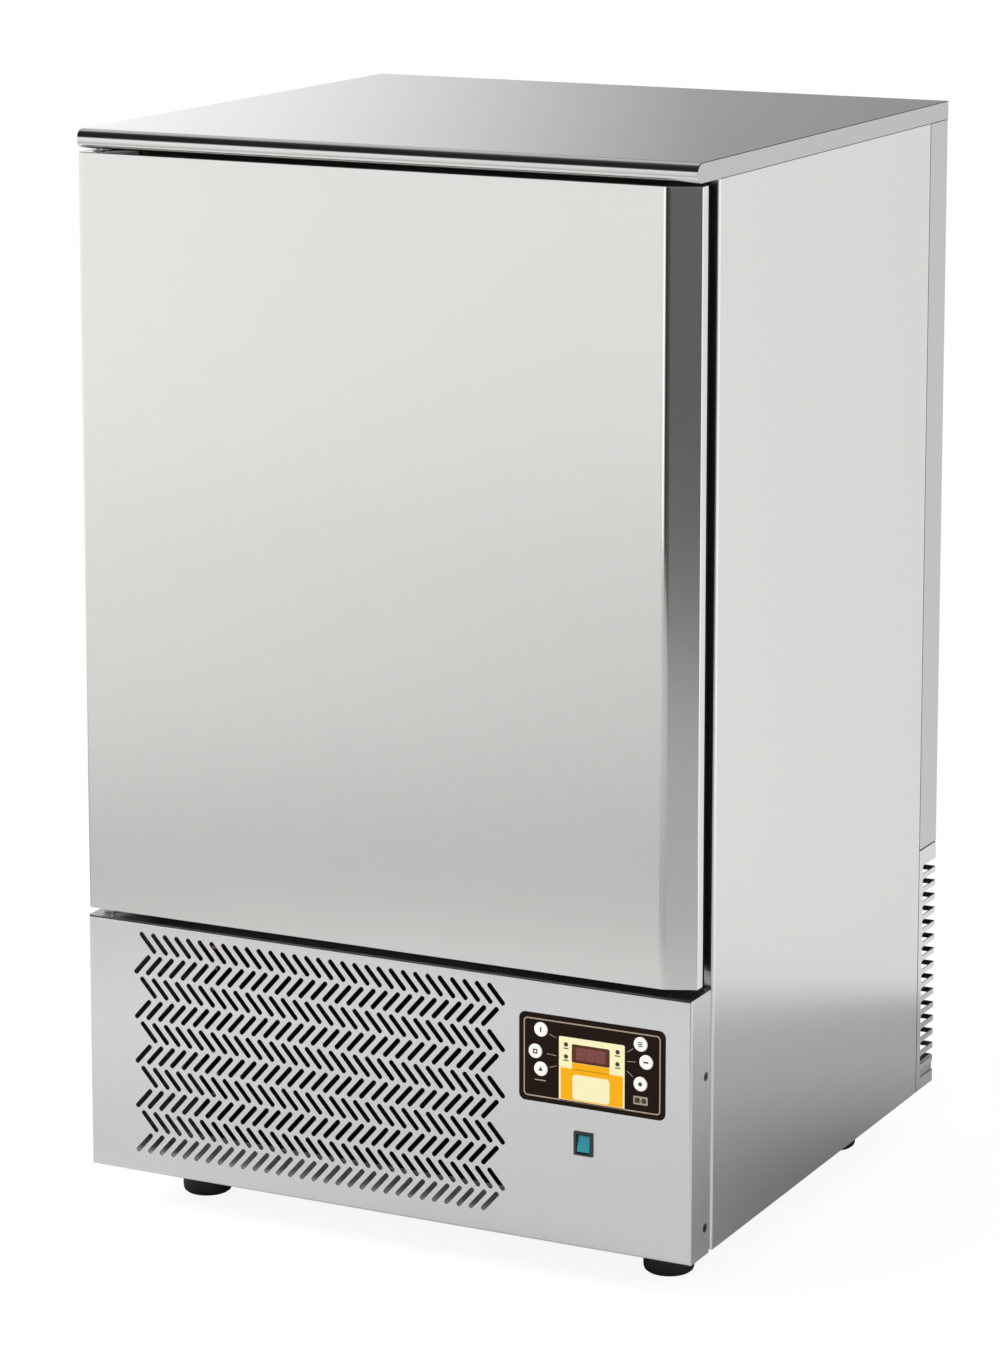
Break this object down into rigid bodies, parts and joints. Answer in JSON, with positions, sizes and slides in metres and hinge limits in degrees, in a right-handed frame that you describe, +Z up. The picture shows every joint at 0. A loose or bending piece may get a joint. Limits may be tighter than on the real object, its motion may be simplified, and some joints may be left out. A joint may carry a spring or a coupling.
{
  "type": "blast chiller",
  "caption": "Upright blast chiller with a full-height bevelled door grip, a herringbone front grille, button controls and a finned cooling unit behind and below the chamber.",
  "frame": {"origin": "on the floor, under the centre of the whole machine's footprint", "axes": "+Z up; the front (door and grille) faces -Y; +X towards the door's grip side, which is on the right seen from the front"},
  "size_m": [0.79, 0.757, 1.313],
  "materials": {
    "steel_sheet": "brushed, fine horizontal grain on the door and vertical on the sides",
    "liner_steel": "smooth bright stainless sheet",
    "galvanised": "dull zinc-coated sheet",
    "foam": "rigid closed-cell foam, hidden",
    "black_plastic": "satin black moulding",
    "black_rubber": "matt black rubber",
    "fascia_brown": "satin dark brown film with a thin beige border",
    "display_window": "dark red translucent filter",
    "button_white": "off-white caps with dark marks",
    "rocker_teal": "translucent teal",
    "fin_aluminium": "thin aluminium fins with copper bends",
    "black_paint": "semi-gloss black enamel",
    "copper": "drawn copper, slightly dulled",
    "nylon": "natural nylon",
    "grey_box": "light grey moulded box",
    "bright_steel": "bright stainless wire and plate"
  },
  "bodies": {
    "cabinet": {"side_panel_left": "steel_sheet", "side_panel_right": "steel_sheet", "back_panel": "steel_sheet", "rear_lower_cover": "steel_sheet", "worktop": "steel_sheet", "lower_front_panel": "steel_sheet", "chamber_liner": "liner_steel", "evaporator_baffle": "liner_steel", "base_pan": "galvanised", "frame_post_left": "galvanised", "frame_post_right": "galvanised", "deck_plate": "galvanised", "condenser_shroud": "galvanised", "insulation_body": "foam", "front_trim": "black_plastic", "switch_housing": "black_plastic", "cable_grommet": "black_rubber", "control_fascia": "fascia_brown", "display_window": "display_window", "evaporator_coil": "fin_aluminium", "condenser_coil": "fin_aluminium", "evaporator_motor_lower": "black_paint", "evaporator_motor_upper": "black_paint", "condenser_motor": "black_paint", "compressor": "black_paint", "liquid_receiver": "black_paint", "filter_drier": "copper", "suction_pipe": "copper", "discharge_pipe": "copper", "liquid_pipe": "copper", "controller_housing": "grey_box", "electrical_box": "grey_box", "hinge_bracket_top": "bright_steel", "hinge_bracket_bottom": "bright_steel", "fan_guard_lower": "bright_steel", "fan_guard_upper": "bright_steel", "tray_rack_left": "bright_steel", "tray_rack_right": "bright_steel"},
    "door": {"door_skin": "steel_sheet", "door_core": "foam", "door_liner": "liner_steel", "door_gasket": "black_rubber", "hinge_bush_top": "nylon", "hinge_bush_bottom": "nylon"},
    "button_left_top": {"button_left_top": "button_white"},
    "button_left_middle": {"button_left_middle": "button_white"},
    "button_left_bottom": {"button_left_bottom": "button_white"},
    "button_right_top": {"button_right_top": "button_white"},
    "button_right_middle": {"button_right_middle": "button_white"},
    "button_right_bottom": {"button_right_bottom": "button_white"},
    "switch_rocker": {"switch_rocker": "rocker_teal"},
    "evaporator_fan_lower": {"evaporator_fan_lower": "black_plastic"},
    "evaporator_fan_upper": {"evaporator_fan_upper": "black_plastic"},
    "condenser_fan": {"condenser_fan": "black_plastic"},
    "foot_front_left": {"foot_front_left": "black_rubber"},
    "foot_front_right": {"foot_front_right": "black_rubber"},
    "foot_rear_left": {"foot_rear_left": "black_rubber"},
    "foot_rear_right": {"foot_rear_right": "black_rubber"}
  },
  "joints": [
    {"name": "door_hinge", "type": "hinge", "parent": "cabinet", "child": "door", "pos_m": [-0.377, -0.3545, 0.833], "axis": [0, 0, -1], "range_deg": [0, 110]},
    {"name": "button_left_top_press", "type": "slide", "parent": "cabinet", "child": "button_left_top", "axis": [0, 1, 0], "range_m": [0, 0.001], "stiffness_N_per_m": 400, "springref_m": -0.0005},
    {"name": "button_left_middle_press", "type": "slide", "parent": "cabinet", "child": "button_left_middle", "axis": [0, 1, 0], "range_m": [0, 0.001], "stiffness_N_per_m": 400, "springref_m": -0.0005},
    {"name": "button_left_bottom_press", "type": "slide", "parent": "cabinet", "child": "button_left_bottom", "axis": [0, 1, 0], "range_m": [0, 0.001], "stiffness_N_per_m": 400, "springref_m": -0.0005},
    {"name": "button_right_top_press", "type": "slide", "parent": "cabinet", "child": "button_right_top", "axis": [0, 1, 0], "range_m": [0, 0.001], "stiffness_N_per_m": 400, "springref_m": -0.0005},
    {"name": "button_right_middle_press", "type": "slide", "parent": "cabinet", "child": "button_right_middle", "axis": [0, 1, 0], "range_m": [0, 0.001], "stiffness_N_per_m": 400, "springref_m": -0.0005},
    {"name": "button_right_bottom_press", "type": "slide", "parent": "cabinet", "child": "button_right_bottom", "axis": [0, 1, 0], "range_m": [0, 0.001], "stiffness_N_per_m": 400, "springref_m": -0.0005},
    {"name": "rocker_tilt", "type": "hinge", "parent": "cabinet", "child": "switch_rocker", "pos_m": [0.2612, -0.3735, 0.1843], "axis": [1, 0, 0], "range_deg": [0, 18]},
    {"name": "evaporator_fan_lower_spin", "type": "hinge", "parent": "cabinet", "child": "evaporator_fan_lower", "pos_m": [0, 0.1742, 0.6471], "axis": [0, 1, 0], "continuous": true},
    {"name": "evaporator_fan_upper_spin", "type": "hinge", "parent": "cabinet", "child": "evaporator_fan_upper", "pos_m": [0, 0.1742, 1.0155], "axis": [0, 1, 0], "continuous": true},
    {"name": "condenser_fan_spin", "type": "hinge", "parent": "cabinet", "child": "condenser_fan", "pos_m": [-0.043, -0.2205, 0.2063], "axis": [0, 1, 0], "continuous": true},
    {"name": "foot_front_left_screw", "type": "hinge", "parent": "cabinet", "child": "foot_front_left", "pos_m": [-0.31, -0.2465, 0], "axis": [0, 0, 1], "continuous": true},
    {"name": "foot_front_right_screw", "type": "hinge", "parent": "cabinet", "child": "foot_front_right", "pos_m": [0.31, -0.2465, 0], "axis": [0, 0, 1], "continuous": true},
    {"name": "foot_rear_left_screw", "type": "hinge", "parent": "cabinet", "child": "foot_rear_left", "pos_m": [-0.31, 0.2485, 0], "axis": [0, 0, 1], "continuous": true},
    {"name": "foot_rear_right_screw", "type": "hinge", "parent": "cabinet", "child": "foot_rear_right", "pos_m": [0.31, 0.2485, 0], "axis": [0, 0, 1], "continuous": true}
  ]
}
